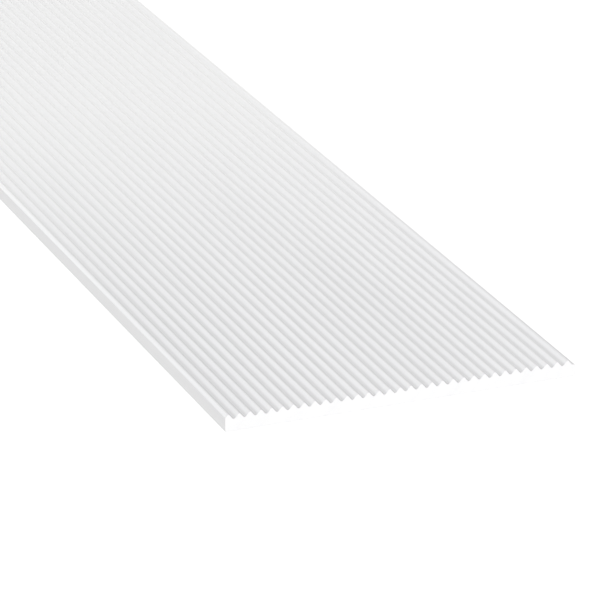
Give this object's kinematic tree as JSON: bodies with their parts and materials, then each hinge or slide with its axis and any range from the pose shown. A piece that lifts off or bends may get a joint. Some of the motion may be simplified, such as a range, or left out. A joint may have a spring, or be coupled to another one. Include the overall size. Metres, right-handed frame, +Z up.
{
  "type": "diving board",
  "caption": "Long flat aluminium springboard plank with a ribbed top and a sawn tip, hinged at its rear on bolt-down bases, with a wear plate for the fulcrum.",
  "frame": {"origin": "centre of the anchor bolt pattern, on the face that both hinge bases stand on, straight below the hinge axis", "axes": "+X along the plank from the hinge axis to the tip, +Y across the plank from its left edge to its right edge as seen by someone facing its tip from the water, +Z up"},
  "size_m": [4.922, 0.5, 0.113],
  "materials": {
    "satin_plank_aluminium": "extruded, fine satin, very pale",
    "cast_hinge_aluminium": "sand cast, bead blasted",
    "turned_stainless": "turned stainless steel",
    "sheet_stainless": "rolled stainless sheet, scuffed along its length",
    "bearing_bronze": "turned bearing bronze",
    "black_pad_rubber": "moulded, matt",
    "sleeve_nylon": "natural nylon"
  },
  "bodies": {
    "hinge_bases": {"hinge_base_left": "cast_hinge_aluminium", "hinge_base_right": "cast_hinge_aluminium", "hinge_pin_left": "turned_stainless", "hinge_pin_right": "turned_stainless", "pin_washers": "turned_stainless", "split_pins": "turned_stainless"},
    "board": {"plank": "satin_plank_aluminium", "hinge_leaf_left": "cast_hinge_aluminium", "hinge_leaf_right": "cast_hinge_aluminium", "bushings_left": "bearing_bronze", "bushings_right": "bearing_bronze", "mounting_pad_left": "black_pad_rubber", "mounting_pad_right": "black_pad_rubber", "board_bolts": "turned_stainless", "bolt_washers": "turned_stainless", "bolt_sleeves": "sleeve_nylon", "leaf_washers": "turned_stainless", "lock_nuts": "turned_stainless", "wear_plate": "sheet_stainless", "wear_plate_bedding": "black_pad_rubber", "wear_plate_screws": "turned_stainless"}
  },
  "joints": [
    {"name": "board_hinge", "type": "hinge", "parent": "hinge_bases", "child": "board", "pos_m": [0, 0, 0.045], "axis": [0, -1, 0], "range_deg": [0, 75]}
  ]
}
